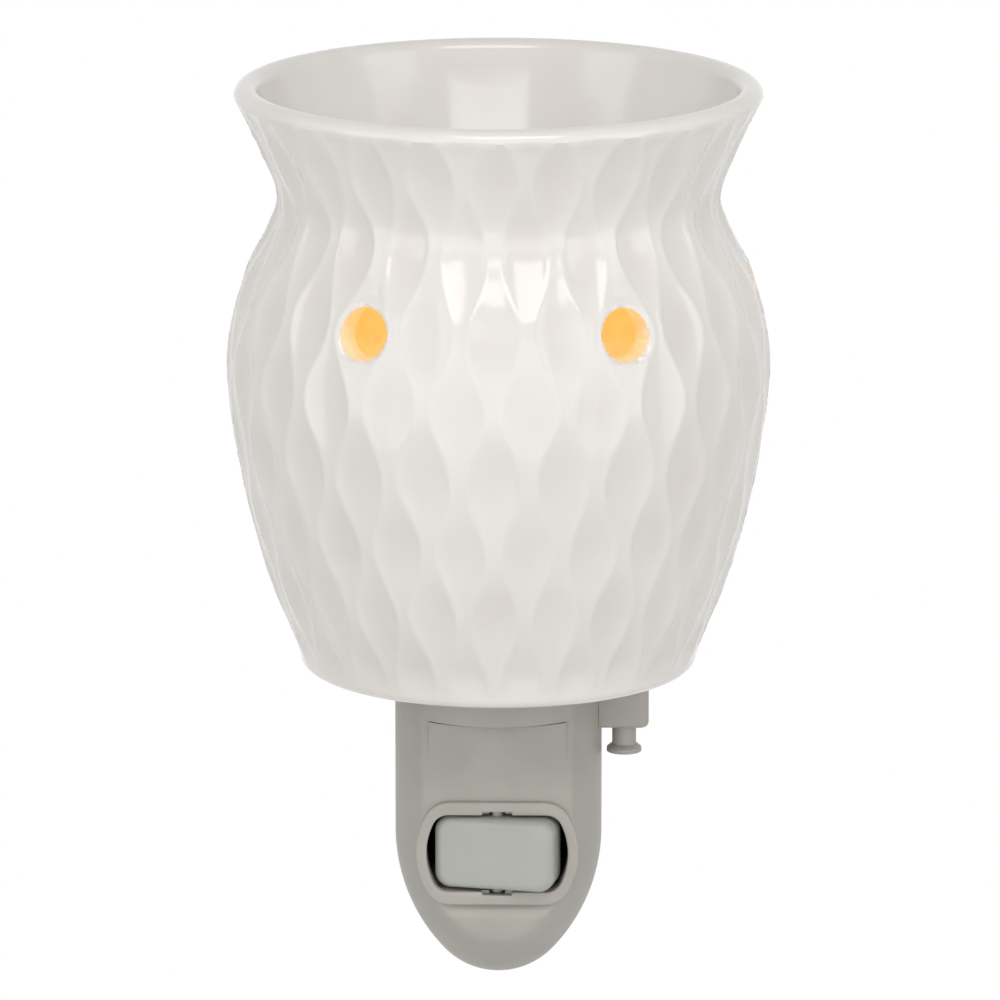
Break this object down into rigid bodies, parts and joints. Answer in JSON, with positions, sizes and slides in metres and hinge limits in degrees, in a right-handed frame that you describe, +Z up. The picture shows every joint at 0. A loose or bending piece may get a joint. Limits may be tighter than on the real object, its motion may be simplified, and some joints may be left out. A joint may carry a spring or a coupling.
{
  "type": "plug-in wax melt warmer",
  "caption": "Plug-in wax warmer: vase-shaped glazed ceramic shade with a wax dish and round vents, on a moulded base with rocker switch, lock pin and turning plug.",
  "frame": {"origin": "where the plug's axis meets the wall plane, in the middle of the two blades", "axes": "+Z up, +Y along the blades into the wall, +X to the right seen from the front"},
  "size_m": [0.09, 0.11, 0.1512],
  "materials": {
    "white_glaze": "glossy",
    "grey_plastic": "satin",
    "dark_plastic": "matte",
    "white_insulator": "matte",
    "brass": "satin",
    "steel": "zinc plated",
    "solder": "dull",
    "black_glass": "glossy",
    "lamp_glass": "clear"
  },
  "bodies": {
    "housing": {"front_housing": "grey_plastic", "rear_housing": "grey_plastic", "plug_barrel": "grey_plastic", "carrier_plate": "grey_plastic", "plate_screws": "steel", "housing_screws": "steel", "lamp_socket": "white_insulator", "socket_shell": "brass", "socket_contact": "brass", "switch_base": "dark_plastic", "common_terminal": "brass", "load_terminal": "brass", "live_strip": "brass", "neutral_strip": "brass", "lamp_strip": "brass", "contact_carrier": "dark_plastic", "plug_retainer": "dark_plastic", "plug_washer": "steel", "retainer_screws": "steel", "pin_spring": "steel"},
    "shade": {"shade": "white_glaze", "wax_dish": "white_glaze", "shade_floor": "white_glaze"},
    "bulb": {"bulb_glass": "lamp_glass", "bulb_base": "brass", "bulb_insulator": "black_glass", "bulb_tip": "solder", "bulb_stem": "lamp_glass", "filament_leads": "steel", "filament": "steel"},
    "rocker": {"rocker": "grey_plastic", "rocker_plunger": "dark_plastic", "rocker_spring": "steel"},
    "seesaw": {"seesaw_contact": "brass"},
    "lock_pin": {"lock_pin": "grey_plastic", "pin_clip": "steel"},
    "plug": {"plug_rotor": "grey_plastic", "live_blade": "brass", "neutral_blade": "brass"}
  },
  "joints": [
    {"name": "shade_lift", "type": "slide", "parent": "housing", "child": "shade", "axis": [0, 0, 1], "range_m": [0, 0.055]},
    {"name": "bulb_unscrew", "type": "slide", "parent": "housing", "child": "bulb", "axis": [0, 0, 1], "range_m": [0, 0.014]},
    {"name": "switch_rock", "type": "hinge", "parent": "housing", "child": "rocker", "pos_m": [0, -0.059, -0.0026], "axis": [0, 0, 1], "range_deg": [0, 24]},
    {"name": "seesaw_rock", "type": "hinge", "parent": "housing", "child": "seesaw", "pos_m": [0, -0.05073, -0.0026], "axis": [0, 0, 1], "range_deg": [-12, 0]},
    {"name": "lock_pin_pull", "type": "slide", "parent": "housing", "child": "lock_pin", "axis": [0, 0, -1], "range_m": [0, 0.0035], "stiffness_N_per_m": 400, "springref_m": -0.005, "deforming": ["pin_spring"]},
    {"name": "plug_swivel", "type": "hinge", "parent": "housing", "child": "plug", "pos_m": [0, 0, 0], "axis": [0, 1, 0], "range_deg": [0, 90]}
  ],
  "couplings": [
    {"joint": "seesaw_rock", "follows": "switch_rock", "ratio": -0.5}
  ]
}
